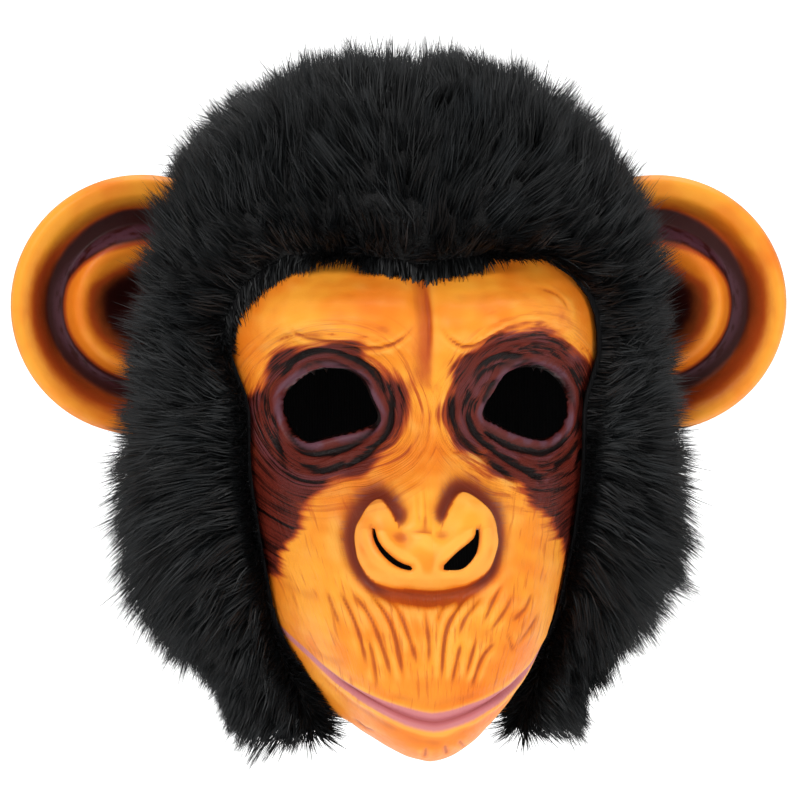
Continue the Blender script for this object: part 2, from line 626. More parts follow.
class Paint:
    """A node material under construction, with short calls for the nodes that this mask's paints need."""

    def __init__(self, name, roughness=0.45):
        self.material = bpy.data.materials.new(name)
        self.material.use_nodes = True
        self.nodes = self.material.node_tree.nodes
        self.links = self.material.node_tree.links
        self.shader = self.nodes["Principled BSDF"]
        self.shader.inputs["Roughness"].default_value = roughness
        self.place = self.nodes.new("ShaderNodeTexCoord").outputs["Object"]

    def join(self, value, socket):
        if isinstance(value, bpy.types.NodeSocket):
            self.links.new(value, socket)
        else:
            socket.default_value = value

    def field(self, name, output="Fac"):
        node = self.nodes.new("ShaderNodeAttribute")
        node.attribute_name = name
        return node.outputs[output]

    def stretch(self, vector, scale):
        node = self.nodes.new("ShaderNodeVectorMath")
        node.operation = "MULTIPLY"
        self.links.new(vector, node.inputs[0])
        node.inputs[1].default_value = scale
        return node.outputs[0]

    def noise(self, scale, detail=4.0, vector=None, rough=0.55, distortion=0.0):
        node = self.nodes.new("ShaderNodeTexNoise")
        node.inputs["Scale"].default_value = scale
        node.inputs["Detail"].default_value = detail
        node.inputs["Roughness"].default_value = rough
        node.inputs["Distortion"].default_value = distortion
        self.links.new(self.place if vector is None else vector, node.inputs["Vector"])
        return node.outputs["Fac"]

    def ramp(self, value, low, high, to_low=0.0, to_high=1.0):
        node = self.nodes.new("ShaderNodeMapRange")
        node.interpolation_type = "SMOOTHSTEP"
        self.join(value, node.inputs["Value"])
        node.inputs["From Min"].default_value = low
        node.inputs["From Max"].default_value = high
        node.inputs["To Min"].default_value = to_low
        node.inputs["To Max"].default_value = to_high
        return node.outputs["Result"]

    def sum(self, first, second, operation="ADD", third=None):
        node = self.nodes.new("ShaderNodeMath")
        node.operation = operation
        self.join(first, node.inputs[0])
        self.join(second, node.inputs[1])
        if third is not None:
            self.join(third, node.inputs[2])
        return node.outputs[0]

    def times(self, first, second):
        return self.sum(first, second, "MULTIPLY")

    def blend(self, amount, under, over, kind="MIX"):
        node = self.nodes.new("ShaderNodeMix")
        node.data_type = "RGBA"
        node.blend_type = kind
        self.join(amount, node.inputs["Factor"])
        self.join(under, node.inputs["A"])
        self.join(over, node.inputs["B"])
        return node.outputs["Result"]

    def bump(self, height, distance, strength=1.0, under=None):
        node = self.nodes.new("ShaderNodeBump")
        node.inputs["Distance"].default_value = distance
        node.inputs["Strength"].default_value = strength
        self.links.new(height, node.inputs["Height"])
        if under is not None:
            self.links.new(under, node.inputs["Normal"])
        return node.outputs["Normal"]

    def finish(self, colour, normal=None, roughness=None):
        self.join(colour, self.shader.inputs["Base Color"])
        if normal is not None:
            self.links.new(normal, self.shader.inputs["Normal"])
        if roughness is not None:
            self.join(roughness, self.shader.inputs["Roughness"])
        return self.material


YELLOW = tint(240, 156, 46)
ORANGE = tint(226, 118, 26)
PALE = tint(250, 188, 88)
RUST = tint(174, 70, 24)
BROWN = tint(128, 58, 22)
MAROON = tint(92, 30, 20)
NEAR_BLACK = tint(16, 3, 2)
PLUM = tint(94, 66, 80)
LIP_PINK = tint(192, 118, 124)
LIP_SEAM = tint(158, 70, 66)


def latex_paint():
    """Yellow-orange latex, airbrushed rust and maroon, with dry-brushed plum on the folds."""
    paint = Paint("face_latex_paint", 0.42)
    paint.shader.inputs["Specular IOR Level"].default_value = 0.15
    cloud = paint.noise(26.0, 3.0)
    fine = paint.noise(420.0, 5.0)
    comb = paint.field("eye_comb", "Vector")
    streak = paint.noise(1.0, 4.0, paint.stretch(comb, (0.55, 0.10, 0.10)))
    thin_streak = paint.noise(1.0, 3.0, paint.stretch(comb, (1.7, 0.13, 0.13)))
    brushed = paint.noise(1.0, 3.0, paint.stretch(paint.field("muzzle_comb", "Vector"), (0.9, 0.07, 1.0)))
    cavity = paint.field("cavity")
    folds = paint.field("folds")
    base = paint.blend(paint.ramp(cloud, 0.35, 0.7), YELLOW, ORANGE)
    base = paint.blend(paint.ramp(paint.field("wash"), 0.0, 1.0, 0.0, 0.8), base, ORANGE)
    base = paint.blend(paint.ramp(cavity, 0.05, -0.5, 0.0, 0.4), base, PALE)
    rust = paint.sum(paint.field("rust"), paint.times(paint.sum(brushed, -0.5), 0.35))
    base = paint.blend(paint.ramp(rust, 0.15, 1.0, 0.0, 0.9), base, RUST)
    base = paint.blend(paint.ramp(cavity, 0.02, 0.55, 0.0, 0.75), base, RUST)
    lines = paint.ramp(brushed, 0.55, 0.68, 0.0, 0.45)
    base = paint.blend(paint.times(lines, paint.field("lined")), base, RUST)
    around = paint.times(paint.ramp(streak, 0.50, 0.66, 0.0, 0.5), folds)
    base = paint.blend(around, base, RUST)
    ragged = paint.times(paint.sum(streak, -0.5), paint.ramp(paint.field("maroon"), 0.0, 0.15, 0.0, 1.1))
    edge = paint.sum(paint.field("maroon"), ragged)
    base = paint.blend(paint.ramp(edge, 0.10, 0.50), base, RUST)
    tone = paint.sum(thin_streak, paint.times(cavity, -0.35))
    dark = paint.blend(paint.ramp(tone, 0.34, 0.56), NEAR_BLACK, MAROON)
    base = paint.blend(paint.ramp(edge, 0.34, 0.70), base, dark)
    glaze = paint.times(paint.ramp(streak, 0.56, 0.66, 0.0, 0.75), paint.ramp(edge, 1.25, 0.65))
    base = paint.blend(paint.times(glaze, folds), base, RUST)
    base = paint.blend(paint.ramp(paint.field("nose_dark"), 0.0, 1.0, 0.0, 0.9), base, MAROON)
    strokes = paint.times(paint.field("plum"), paint.ramp(tone, 0.40, 0.62))
    base = paint.blend(paint.ramp(strokes, 0.0, 1.0, 0.0, 0.7), base, PLUM)
    lips = paint.sum(paint.field("lip"), paint.times(paint.sum(brushed, -0.5), 0.3))
    base = paint.blend(paint.ramp(lips, 0.05, 0.95, 0.0, 0.95), base, LIP_PINK)
    base = paint.blend(paint.times(paint.field("seam"), 0.8), base, LIP_SEAM)
    line_colour = paint.blend(paint.ramp(edge, 0.2, 0.6), BROWN, NEAR_BLACK)
    base = paint.blend(paint.times(paint.field("crease"), 0.8), base, line_colour)
    normal = paint.bump(paint.times(thin_streak, folds), 0.0011, 0.9)
    normal = paint.bump(paint.times(brushed, paint.field("lined")), 0.0010, 0.9, normal)
    normal = paint.bump(paint.noise(160.0, 6.0), 0.0004, 0.5, normal)
    normal = paint.bump(fine, 0.00015, 0.4, normal)
    return paint.finish(base, normal, paint.ramp(fine, 0.2, 0.8, 0.36, 0.5))


def bare_latex(name):
    """The unpainted inner side of the latex."""
    paint = Paint(name, 0.6)
    cloud = paint.noise(40.0, 4.0)
    colour = paint.blend(paint.ramp(cloud, 0.3, 0.7), tint(206, 140, 76), tint(176, 112, 58))
    return paint.finish(colour, paint.bump(paint.noise(300.0, 5.0), 0.0003, 0.5))


def eye_outlines():
    """The two eye holes' outlines in front view."""
    outlines = []
    for sign, table in ((1.0, EYE_LEFT), (-1.0, EYE_RIGHT)):
        middle = EYE_SHIFT + sign * EYE_SPACING / 2
        corners = [(middle + side * EYE_WIDTH, up * EYE_HEIGHT - FACE_TOP - EYE_DROP) for side, up in table]
        outlines.append(rounded(corners, 4))
    return outlines


def build_face():
    steps = len(FACE_ROWS) - 1
    rows = np.linspace(0, steps, round(steps * ROWS_BETWEEN) + 1)
    right = np.interp(np.arange((len(FACE_COLUMNS) - 1) * COLUMNS_BETWEEN + 1) / COLUMNS_BETWEEN,
                      np.arange(len(FACE_COLUMNS)), FACE_COLUMNS)
    points, near, calm = face_surface(rows, right)
    normals = grid_normals(points)
    x, z = points[..., 0] / MM, points[..., 2] / MM
    row = np.broadcast_to(rows[:, None], x.shape)
    lift = np.zeros_like(x)
    crease = np.zeros_like(x)
    plum = np.zeros_like(x)
    rust = np.zeros_like(x)

    # Folds round the eyes
    eye_far, eye_out, eye_up = np.full(x.shape, np.inf), np.zeros_like(x), np.zeros_like(x)
    for outward, outline in zip((1.0, -1.0), eye_outlines()):
        middle = outline.mean(axis=0) / MM
        far = signed_distance(x, z, outline / MM)
        turn = np.arctan2(z - middle[1], outward * (x - middle[0]))
        closer = far < eye_far
        eye_far = np.where(closer, far, eye_far)
        eye_out = np.where(closer, np.cos(turn), eye_out)
        eye_up = np.where(closer, np.sin(turn), eye_up)
    eye_out += 0.02 * x
    rim = np.exp(-(((eye_far - 2.5) / 1.9) ** 4)) - 1.2 * np.exp(-((np.maximum(eye_far, 0) / 0.9) ** 2))
    lift += 1.5 * rim
    unevenness = ripples(eye_out * 2.2 + eye_far * 0.10, eye_up * 2.2, 3)
    phase = eye_far / 4.2 + 0.55 * unevenness + 0.10 * ripples(eye_out * 7, eye_up * 7 + eye_far * 0.3, 4)
    zone = ease(eye_far, 4.0, 6.0) * (1 - ease(eye_far, 13.0, 26.0))
    strength = 0.6 + 0.4 * ripples(eye_out * 3, eye_up * 3 + eye_far * 0.2, 5)
    fold = np.abs(np.sin(math.pi * phase)) ** 0.6
    lift += 1.0 * (fold - 0.75) * zone * np.clip(strength, 0, 1)
    folds = ease(eye_far, 2.0, 6.0) * (1 - ease(eye_far, 16.0, 30.0))
    folds *= 1 - 0.65 * ease(eye_up, 0.1, 0.7) * ease(eye_far, 6.0, 11.0)
    worn = ease(ripples(eye_out * 3.5, eye_up * 3.5 + eye_far * 0.5, 15), -0.7, 0.5)
    plum += (0.35 + 0.6 * worn) * np.exp(-(((eye_far - 2.1) / 1.6) ** 4))
    plum += 0.45 * zone * ease(ripples(eye_out * 2, eye_up * 2 + eye_far * 0.35, 6), -0.2, 0.9)
    for depth, width, *line in EYE_CREASES:
        far, share, _, _ = line_distance(x, z, rounded(line, 5, closed=False))
        ends = ease(share, 0.0, 0.16) * (1 - ease(share, 0.84, 1.0))
        lift -= depth * np.exp(-((far / width) ** 2)) * ends
        lift += 0.35 * depth * np.exp(-(((far - 2.3 * width) / width) ** 2)) * ends
        crease = np.maximum(crease, 1.2 * min(1.0, depth) * np.exp(-((far / (0.8 * width)) ** 2)) * ends)

    # Maroon round the eyes and down the outer cheeks
    maroon = np.zeros_like(x)
    for outline in (MAROON_LEFT, MAROON_RIGHT):
        far = signed_distance(x, z, rounded(outline, 5))
        maroon = np.maximum(maroon, 1 - ease(far + 2.0 * ripples(x * 0.12, z * 0.12, 8), -6.0, 5.0))

    # The nose stands out of a dark groove that is steep at the nose and soft on its outer side
    nose = rounded(NOSE, 4)
    far, share, _, _ = line_distance(x, z, rounded(NOSE, 4, closed=False))
    beyond = np.where(inside_outline(x, z, nose), -far, far)
    ends = ease(share, 0.0, 0.05) * (1 - ease(share, 0.95, 1.0))
    under = ease(-z, 170.0, 177.0) * (1 - ease(np.abs(x + 1), 12.0, 22.0))
    wide = 3.0 + 1.6 * ease(z, -158.0, -146.0) + 0.3 * under
    groove = np.where(beyond < 1.0, np.exp(-(((beyond - 1.0) / 1.5) ** 2)), np.exp(-(((beyond - 1.0) / wide) ** 2)))
    lift -= 2.3 * groove * ends
    bridge = ease(z, -156.0, -146.0) * (1 - ease(np.abs(x + 3.5), 6.0, 13.0))
    lift += 1.5 * ease(-beyond, 0.0, 7.0) * (1 - bridge)
    band = ease(beyond, -0.9, 0.8) * (1 - ease(beyond, 0.9, 1.4 + 1.25 * wide)) * ends
    plum = np.maximum(plum, (1.0 - 0.85 * under) * band)
    nose_dark = band * (1.0 - 0.55 * under)
    soft = np.exp(-((np.maximum(beyond, 0.0) / (1.6 * wide)) ** 2)) * (beyond > -0.6) * ends
    rust = np.maximum(rust, 0.8 * soft)
    inner = np.exp(-((np.minimum(beyond, 0.0) / 1.6) ** 2)) * (beyond <= 0.4) * ends
    rust = np.maximum(rust, 0.35 * inner)
    for line in ((-2.4, -138.0), (-2.2, -148.0), (-2.8, -157.0)), ((-4.6, -141.0), (-4.9, -148.0), (-4.2, -154.0)):
        far, share, _, _ = line_distance(x, z, rounded(line, 5, closed=False))
        lift -= 0.45 * np.exp(-((far / 0.8) ** 2)) * ease(share, 0.0, 0.3) * (1 - ease(share, 0.7, 1.0))
    for outline in (SLIT_LEFT, SLIT_RIGHT):
        far = signed_distance(x, z, rounded(outline, 3))
        lift += 0.7 * np.exp(-(((far - 2.2) / 1.6) ** 2)) * (z < -156.0)
        rust = np.maximum(rust, 0.55 * np.exp(-((np.maximum(far, 0) / 0.9) ** 2)))

    # Furrow between the brows
    beside = np.where(x < 0.6, 6.0, 2.5)
    furrow = np.exp(-(((x - 0.6) / beside) ** 2)) * ease(z, -112.0, -98.0) * (1 - ease(z, -68.0, -56.0))
    rust = np.maximum(rust, 0.85 * furrow)
    lift -= 0.7 * furrow

    # Creases
    for depth, width, *line in FACE_CREASES:
        far, share, _, _ = line_distance(x, z, rounded(line, 6, closed=False))
        fade = 0.35 if line[0][1] > -100.0 else 0.28
        ends = ease(share, 0.0, fade) * (1 - ease(share, 1.0 - fade, 1.0))
        lift -= 0.75 * depth * np.exp(-((far / width) ** 2)) * ends
        lift += 0.25 * depth * np.exp(-(((far - 2.2 * width) / width) ** 2)) * ends
        faint = 0.75 * min(1.0, depth) * ends
        crease = np.maximum(crease, np.exp(-((far / (0.42 * width)) ** 2)) * faint)
        rust = np.maximum(rust, 0.30 * np.exp(-((far / (1.6 * width)) ** 2)) * ends)

    # Lips, thinner towards the corners
    mouth_row = 22.5
    tall = 0.34 + 0.31 * (1 - ease(near, 0.2, 0.9))
    lip = 1 - ease(np.abs(row - mouth_row + 0.04), 0.62 * tall, 1.15 * tall)
    seam = np.exp(-(((row - mouth_row) / 0.13) ** 2)) * (1 - ease(near, 0.62, 0.8))
    lift -= 1.5 * np.exp(-(((row - mouth_row) / 0.20) ** 2)) * (1 - ease(near, 0.66, 0.9))
    lift += 0.9 * np.exp(-(((row - mouth_row - 0.5) / 0.40) ** 2)) * (1 - ease(near, 0.72, 0.92))
    lift += 0.5 * np.exp(-(((row - mouth_row + 0.5) / 0.40) ** 2)) * (1 - ease(near, 0.72, 0.92))

    above = np.exp(-(((row - mouth_row + 1.25) / 0.55) ** 2)) * (1 - ease(near, 0.25, 0.60))
    mottle = 0.5 + 0.5 * ripples(x * 0.16, z * 0.16, 14)
    chin = ease(row, mouth_row + 0.7, mouth_row + 1.4) * np.clip(mottle, 0, 1)
    rust = np.maximum(rust, 0.34 * above + 0.26 * chin)

    # Unevenness of hand-worked latex
    lift += 0.25 * ripples(x * 0.09, z * 0.09, 11) + 0.10 * ripples(x * 0.3, z * 0.3, 12)
    points += normals * (lift * MM * calm)[..., None]
    cavity = np.clip(blurred(lift, 5) - lift, -1.5, 1.5)

    normals = grid_normals(points)
    inside = np.zeros(x.shape, bool)
    for outline in eye_outlines():
        inside |= snap_to(points, normals, outline)
    for outline in (SLIT_LEFT, SLIT_RIGHT):
        inside |= snap_to(points, normals, rounded(outline, 3) * MM)

    face = draw_sheet("face_skin", points)
    muzzle = ease(-z, 172.0, 186.0) * (1 - ease(-z, 212.0, 226.0))
    cheeks = ease(-z, 120.0, 150.0) * (1 - ease(-z, 176.0, 190.0)) * ease(np.abs(x), 24.0, 34.0)
    fan = x / (1 + 0.011 * np.maximum(212.0 + z, 0.0))
    wash = np.clip(0.8 * ease(near, 0.80, 1.0) + 0.8 * ease(-z, 214.0, 236.0) * (1 - lip), 0, 1)
    for name, values in (("maroon", maroon), ("plum", np.clip(plum, 0, 1)), ("rust", np.clip(rust, 0, 1)),
                         ("crease", crease), ("lip", lip), ("seam", seam), ("wash", wash),
                         ("cavity", cavity), ("nose_dark", nose_dark),
                         ("folds", folds), ("lined", np.clip(muzzle + cheeks, 0, 1))):
        keep_field(face, name, values)
    keep_comb(face, "eye_comb", eye_far, eye_out * 14.0, eye_up * 14.0)
    keep_comb(face, "muzzle_comb", fan, z, 0 * z)
    cut_holes(face, inside)
    face.data.materials.append(latex_paint())
    face.data.materials.append(bare_latex("face_latex_inside"))
    thicken(face, LATEX)
    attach(face, "root")
    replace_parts(face, "face")


def ear_paint():
    """Yellow-orange latex, airbrushed brown to maroon in the groove and in the bowl."""
    paint = Paint("ear_latex_paint", 0.42)
    paint.shader.inputs["Specular IOR Level"].default_value = 0.2
    cloud = paint.noise(30.0, 3.0)
    fine = paint.noise(420.0, 5.0)
    streak = paint.noise(1.0, 4.0, paint.stretch(paint.field("ear_comb", "Vector"), (0.35, 0.08, 1.0)))
    uneven = paint.times(paint.sum(streak, -0.5), 0.3)
    base = paint.blend(paint.ramp(cloud, 0.35, 0.7), YELLOW, ORANGE)
    base = paint.blend(paint.ramp(paint.field("wash"), 0.0, 1.0, 0.0, 0.7), base, ORANGE)
    base = paint.blend(paint.ramp(paint.sum(paint.field("brown"), uneven), 0.0, 0.6), base, RUST)
    base = paint.blend(paint.ramp(paint.sum(paint.field("brown"), uneven), 0.45, 1.1), base, BROWN)
    base = paint.blend(paint.ramp(paint.sum(paint.field("maroon"), uneven), 0.1, 0.9), base, tint(50, 14, 12))
    strokes = paint.times(paint.field("plum"), paint.ramp(streak, 0.30, 0.55))
    base = paint.blend(paint.ramp(strokes, 0.0, 1.0, 0.0, 0.8), base, tint(82, 50, 62))
    normal = paint.bump(paint.noise(90.0, 5.0), 0.0005, 0.5)
    normal = paint.bump(fine, 0.00015, 0.4, normal)
    return paint.finish(base, normal, paint.ramp(fine, 0.2, 0.8, 0.36, 0.5))


def build_ear(name, sign, paint, bare):
    sweep = np.radians(np.linspace(EAR_SWEEP[0], EAR_SWEEP[1], EAR_ROWS))[:, None]
    middle_x = HEAD_WIDTH / 2 + EAR_STAND
    rim_x = middle_x + EAR_RADIUS * np.cos(sweep)
    rim_z = -EAR_DROP + EAR_RADIUS * np.sin(sweep)
    root_z = rim_z[0] + (rim_z[-1] - rim_z[0]) * np.linspace(0, 1, EAR_ROWS)[:, None]
    root_x = hood_reach(-root_z)[0] + FACET_EASE + CLOTH + SEAT_GAP
    steps = np.linspace(0.0, 1.0, EAR_COLUMNS)[None, :] ** 0.85
    x = root_x + np.maximum(rim_x - root_x, EAR_LEAST) * steps
    z = root_z + (rim_z - root_z) * steps
    inward = (EAR_RADIUS - np.hypot(x - middle_x, z + EAR_DROP)) / EAR_RADIUS
    table = np.array(EAR_RELIEF_TABLE)
    lift = smooth_read(np.maximum(inward, 0.0), table[:, 0], table[:, 1]) * EAR_RELIEF
    root_calm = np.clip(steps / EAR_CALM, 0.0, 1.0)
    y = -EAR_FORWARD * (x - root_x) / (middle_x + EAR_RADIUS - root_x) - lift * root_calm
    points = np.stack([sign * x, y, z], axis=-1)
    if sign < 0:
        points = points[:, ::-1]
        inward = inward[:, ::-1]
    flow = np.degrees(np.arctan2(z + EAR_DROP, x - middle_x))
    if sign < 0:
        flow = flow[:, ::-1]
    normals = grid_normals(points)
    points += normals * LATEX / 2
    high = ease(np.sin(np.radians(flow)), 0.2, 0.95)
    start, end = 0.13 + 0.08 * high, 0.40 + 0.09 * high
    way = (inward - start + 0.02 * ripples(flow * 0.03, inward * 5, 21)) / (end - start)
    bowl = ease(inward, 0.50 + 0.09 * high, 0.66 + 0.09 * high)
    brown = np.maximum(ease(way, -0.35, 0.55) * (1 - ease(way, 0.94, 1.16)), bowl)
    deep = ease(way, 0.16 - 0.22 * high, 0.62 - 0.30 * high) * (1 - ease(way, 0.90, 1.06))
    maroon = np.maximum(deep, ease(inward, 0.58 + 0.05 * high, 0.76 + 0.05 * high))
    plum = ease(way, 0.50, 0.80) * (1 - ease(way, 0.88, 1.0)) * (0.7 + 0.3 * high)
    wash = np.maximum(np.exp(-(((way - 1.15) / 0.25) ** 2)), 0.6 * ease(inward, 0.5, 0.6))
    ear = draw_sheet(name, points)
    for field, values in (("brown", brown), ("maroon", maroon), ("plum", plum), ("wash", wash)):
        keep_field(ear, field, values)
    keep_comb(ear, "ear_comb", inward * 52.0, flow * 0.9, 0 * flow)
    ear.data.materials.append(paint)
    ear.data.materials.append(bare)
    thicken(ear, LATEX)
    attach(ear, "root")
    return ear


def plush_paint(name):
    """Black acrylic pile with a faint blue-grey sheen."""
    paint = Paint(name, 0.52)
    colour = paint.blend(paint.field("tone"), tint(3, 4, 5), tint(27, 32, 35))
    paint.shader.inputs["Specular IOR Level"].default_value = 0.35
    return paint.finish(colour)


def comb_direction(points, normals):
    """The way the pile is combed: away from the face in front, and down at the back."""
    out = points - np.array([0.0, -0.06, -0.135])
    down = np.zeros_like(points)
    down[:, 2] = -1.0
    behind = ease(points[:, 1], -0.03, 0.07)[:, None]
    lean = unit(out) * (1 - behind) + down * behind
    low = ease(-points[:, 2], 0.12, 0.22)[:, None]
    lean = lean + down * 0.5 * low
    lean -= normals * (lean * normals).sum(axis=-1, keepdims=True)
    return unit(lean)


def scatter_roots(count, draw):
    """Places for roots spread evenly over the hood's wall, clear of the face opening and the ears' roots."""
    levels = np.linspace(0.03, 2.0, 241)
    turns = np.linspace(-math.pi, math.pi, 321)
    grid = hood_point(levels[:, None], turns[None, :])
    a = grid[1:, :-1] - grid[:-1, :-1]
    b = grid[:-1, 1:] - grid[:-1, :-1]
    area = np.linalg.norm(np.cross(a, b), axis=-1).reshape(-1)
    cells = draw.choice(len(area), size=int(count * 1.5), p=area / area.sum())
    i, j = np.divmod(cells, len(turns) - 1)
    level = levels[i] + draw.random(len(cells)) * (levels[1] - levels[0])
    turn = turns[j] + draw.random(len(cells)) * (turns[1] - turns[0])
    spot = hood_point(level, turn)
    opening = opening_outline(0.0004)
    in_face = inside_outline(spot[:, 0], spot[:, 2], opening) & (spot[:, 1] < 0)
    ear_low, ear_high = -EAR_DROP - EAR_RADIUS, -EAR_DROP + 0.86 * EAR_RADIUS
    in_ear = (np.abs(spot[:, 1]) < 0.0022) & (spot[:, 2] > ear_low) & (spot[:, 2] < ear_high)
    free = np.flatnonzero(~in_face & ~in_ear)[:count]
    return level[free], turn[free]


def pile_length(points):
    """How long the pile is, as a share: shorter at the face's edge, by the ears and at the hem."""
    edge = line_distance(points[:, 0], points[:, 2], opening_outline(0.0))[0]
    front = points[:, 1] < 0
    near_face = np.where(front, ease(edge, 0.0, 0.020), 1.0)
    side = ease(np.abs(points[:, 0]), 0.0, 0.05)
    ear = np.hypot(np.abs(points[:, 1]) / 0.022, (points[:, 2] + EAR_DROP) / 0.060)
    near_ear = ease(ear, 0.3, 1.1) * side + 1 - side
    parting = np.exp(-(((points[:, 0] - 0.003) / 0.007) ** 2)) * ease(points[:, 2], -0.05, -0.01)
    parting *= 1 - ease(points[:, 1], -0.02, 0.0)
    crown = 1 + 0.10 * ease(points[:, 2], -0.08, 0.0)
    side_drop = ease(np.abs(points[:, 0]), 0.04, 0.07) * ease(-points[:, 2], 0.12, 0.15)
    low = 1 + side_drop * (0.22 - 0.75 * ease(-points[:, 2], 0.17, 0.24))
    return (0.50 + 0.50 * near_face) * (0.54 + 0.46 * near_ear) * (1 - 0.25 * parting) * crown * low


def comb_plush(draw):
    """Strands as three points each, root, middle and tip, drawn softly together into tufts."""
    level, turn = scatter_roots(STRANDS, draw)
    normals = hood_normal(level, turn)
    roots = hood_point(level, turn) + normals * (FACET_EASE + CLOTH)
    lean = comb_direction(roots, normals)
    edge = line_distance(roots[:, 0], roots[:, 2], opening_outline(0.0))[0]
    upright = (1 - ease(edge, 0.002, 0.018)) * ease(roots[:, 2], -0.100, -0.080) * (roots[:, 1] < 0)
    lean *= (1 - 0.85 * upright)[:, None]
    count = len(roots)
    heads = draw.choice(count, TUFTS, replace=False)
    tree = kdtree.KDTree(TUFTS)
    for number, head in enumerate(heads):
        tree.insert(roots[head], number)
    tree.balance()
    own = np.array([tree.find(root)[1] for root in roots])
    tuft_stray = draw.normal(size=(TUFTS, 3)) * 0.15
    tuft_length = draw.uniform(0.88, 1.10, TUFTS)
    stray = draw.normal(size=(count, 3)) * 0.13
    loose = draw.random(count) < 0.10
    broad = ripples(roots[:, 0] * 45, roots[:, 2] * 45 + roots[:, 1] * 30, 31)[:, None]
    side = np.cross(normals, lean)
    length = STRAND_LENGTH * pile_length(roots) * tuft_length[own] * draw.uniform(0.70, 1.06, count)
    length = np.where(loose, length * 1.12, length)
    first = unit(normals * 0.95 + lean * 0.30 + tuft_stray[own] * 0.6 + stray + side * broad * 0.12)
    last = unit(normals * 0.55 + lean * 0.80 + tuft_stray[own] + stray + side * broad * 0.30)
    last[:, 2] -= 0.10
    lines = np.stack([roots + length[:, None] * (first * s + (last - first) * s * s * 0.5) for s in STRAND_STEPS], 1)
    heads_lines = lines[heads][own]
    pull = np.array([0.0, 0.22, 0.50])[None, :, None] * np.where(loose, 0.2, 1.0)[:, None, None]
    reach = np.linalg.norm(heads_lines[:, 0] - lines[:, 0], axis=-1)[:, None, None]
    lines += (heads_lines - lines) * pull * (reach < 0.009)
    below = np.maximum(HEM - lines[..., 2], 0.0)
    lines[..., 2] += below - HEM_SPREAD * (1 - np.exp(-below / HEM_SPREAD))
    streaks = ripples(roots[:, 0] * 160, (roots[:, 2] + roots[:, 1]) * 160, 33)
    tone = 0.20 + 0.13 * draw.normal(size=TUFTS)[own] + 0.16 * draw.normal(size=count) + 0.10 * streaks
    return lines, np.clip(tone, 0, 1)


def comb_fringe(draw):
    """Short pile along the face opening's edge. It dips over the brow's middle and closes in below the jaw."""
    line = opening_outline(0.0)
    out = unit(opening_outline(0.001) - line)
    passed = np.concatenate([[0.0], np.cumsum(np.linalg.norm(np.diff(line, axis=0), axis=1))])
    at = draw.random(FRINGE) * passed[-1]
    x, z = (np.interp(at, passed, line[:, k]) for k in (0, 1))
    out_x, out_z = (np.interp(at, passed, out[:, k]) for k in (0, 1))
    back = draw.uniform(0.0, 0.0016, FRINGE)
    x, z = x + out_x * back, z + out_z * back
    kept = z > -HOOD_HEIGHT + 0.001
    x, z, out_x, out_z = (v[kept] for v in (x, z, out_x, out_z))
    step = 0.0005
    slope_x = (egg_front(x + step, z) - egg_front(x - step, z)) / (2 * step)
    slope_z = (egg_front(x, z + step) - egg_front(x, z - step)) / (2 * step)
    normals = unit(np.stack([slope_x, -np.ones_like(x), slope_z], axis=-1))
    wall = draw.uniform(0.0, CLOTH, len(x))[:, None]
    roots = np.stack([x, egg_front(x, z), z], axis=-1) + normals * (FACET_EASE + wall)
    outward = np.stack([out_x, 0 * out_x, out_z], axis=-1)
    stray = draw.normal(size=roots.shape) * 0.14
    places, reaches = np.array(BROW_FRINGE).T * MM
    reach = np.interp(x, places, reaches) * ease(z, -0.100, -0.082)
    brow = np.clip(reach / 0.005, 0, 1)
    jaw = ease(-z, 0.196, 0.228)
    cover = (draw.random(len(x)) < 0.60) * draw.uniform(0.3, 0.9, len(x))
    cover *= 1 - ease(x, 0.045, 0.060) * ease(z, -0.135, -0.110)
    lean = outward * (0.40 - cover - 0.9 * jaw)[:, None] + stray
    lean -= outward * (1.1 * brow)[:, None]
    lean[:, 2] -= 0.5 * brow + 0.25 * jaw
    length = draw.uniform(0.005, 0.009, len(x)) * (1 - 0.5 * brow) + 0.012 * jaw
    length += reach * draw.uniform(0.5, 1.15, len(x))
    first = unit(normals * (0.80 - 0.30 * brow)[:, None] + lean * 0.7)
    last = unit(normals * (0.60 - 0.48 * brow)[:, None] + lean)
    lines = np.stack([roots + length[:, None] * (first * s + (last - first) * s * s * 0.5) for s in STRAND_STEPS], 1)
    return lines, np.clip(0.10 + 0.10 * draw.normal(size=len(x)), 0, 1)


def strand_mesh(name, lines, tone, draw):
    """One joined mesh of tapering ribbons."""
    count = len(lines)
    along = unit(lines[:, -1] - lines[:, 0])
    side = unit(np.cross(along, draw.normal(size=(count, 3))))
    widths = np.array([0.5, 0.42]) * STRAND_WIDTH
    body = lines[:, :2, None, :] + np.array([-1.0, 1.0])[None, None, :, None] * (
        side[:, None, None, :] * widths[None, :, None, None]
    )
    points = np.concatenate([body.reshape(count, 4, 3), lines[:, 2:]], axis=1).reshape(-1, 3)
    start = np.arange(count)[:, None] * 5
    corners = np.concatenate([start + np.array([0, 1, 3, 2]), start + np.array([2, 3, 4])], axis=1).reshape(-1)
    sizes = np.tile([4, 3], count)
    mesh = bpy.data.meshes.new(name)
    mesh.vertices.add(len(points))
    mesh.vertices.foreach_set("co", points.reshape(-1))
    mesh.loops.add(len(corners))
    mesh.loops.foreach_set("vertex_index", corners)
    mesh.polygons.add(len(sizes))
    mesh.polygons.foreach_set("loop_start", np.concatenate([[0], np.cumsum(sizes)[:-1]]))
    mesh.update(calc_edges=True)
    mesh.shade_smooth()
    piece = bpy.data.objects.new(name, mesh)
    bpy.context.scene.collection.objects.link(piece)
    tip_tone = np.tile([0.2, 0.2, 0.8, 0.8, 1.3], (count, 1)) * tone[:, None]
    keep_field(piece, "tone", tip_tone, rows_run_down=False)
    return piece


